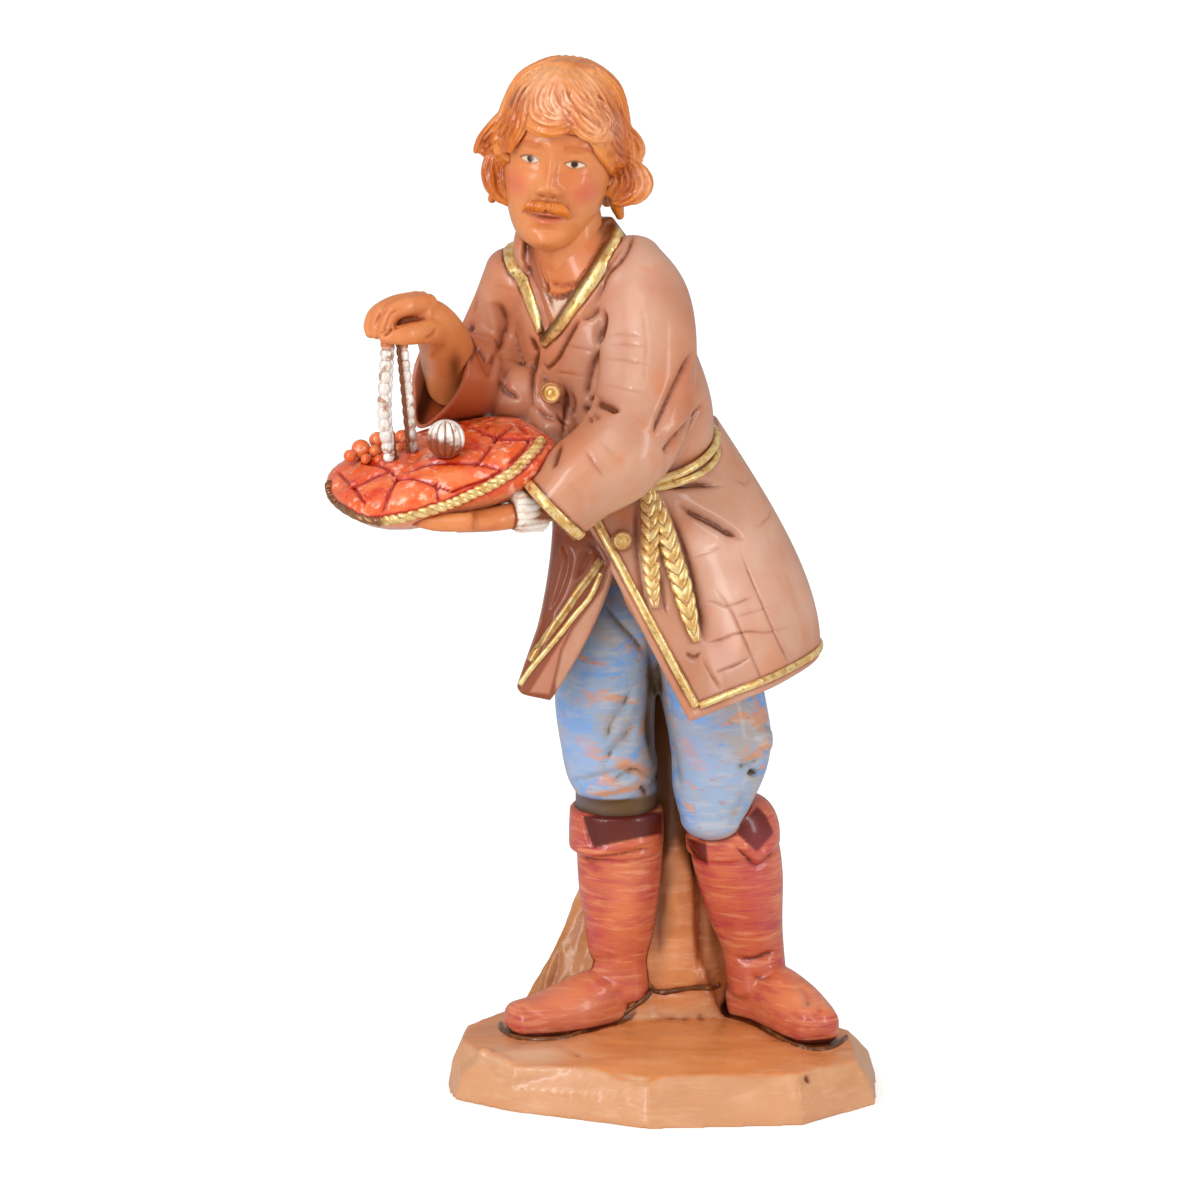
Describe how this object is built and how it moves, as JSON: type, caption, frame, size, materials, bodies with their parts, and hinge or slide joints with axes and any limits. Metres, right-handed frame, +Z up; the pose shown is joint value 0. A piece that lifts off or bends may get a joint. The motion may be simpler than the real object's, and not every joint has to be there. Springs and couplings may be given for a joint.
{
  "type": "presepe figure",
  "caption": "Painted nativity-scene townsman in a long coat, standing on a rock plinth and holding strings of pearls over a cushion.",
  "frame": {"origin": "centre of the plinth's underside", "axes": "+Z up along the figure, -Y towards the viewer that the plinth's front faces, +X to that viewer's right"},
  "size_m": [0.0662, 0.0443, 0.1248],
  "materials": {
    "painted_polymer": "hand-painted moulded polymer with a brown wash, satin to gloss"
  },
  "bodies": {
    "root": {"figure": "painted_polymer"}
  },
  "joints": []
}
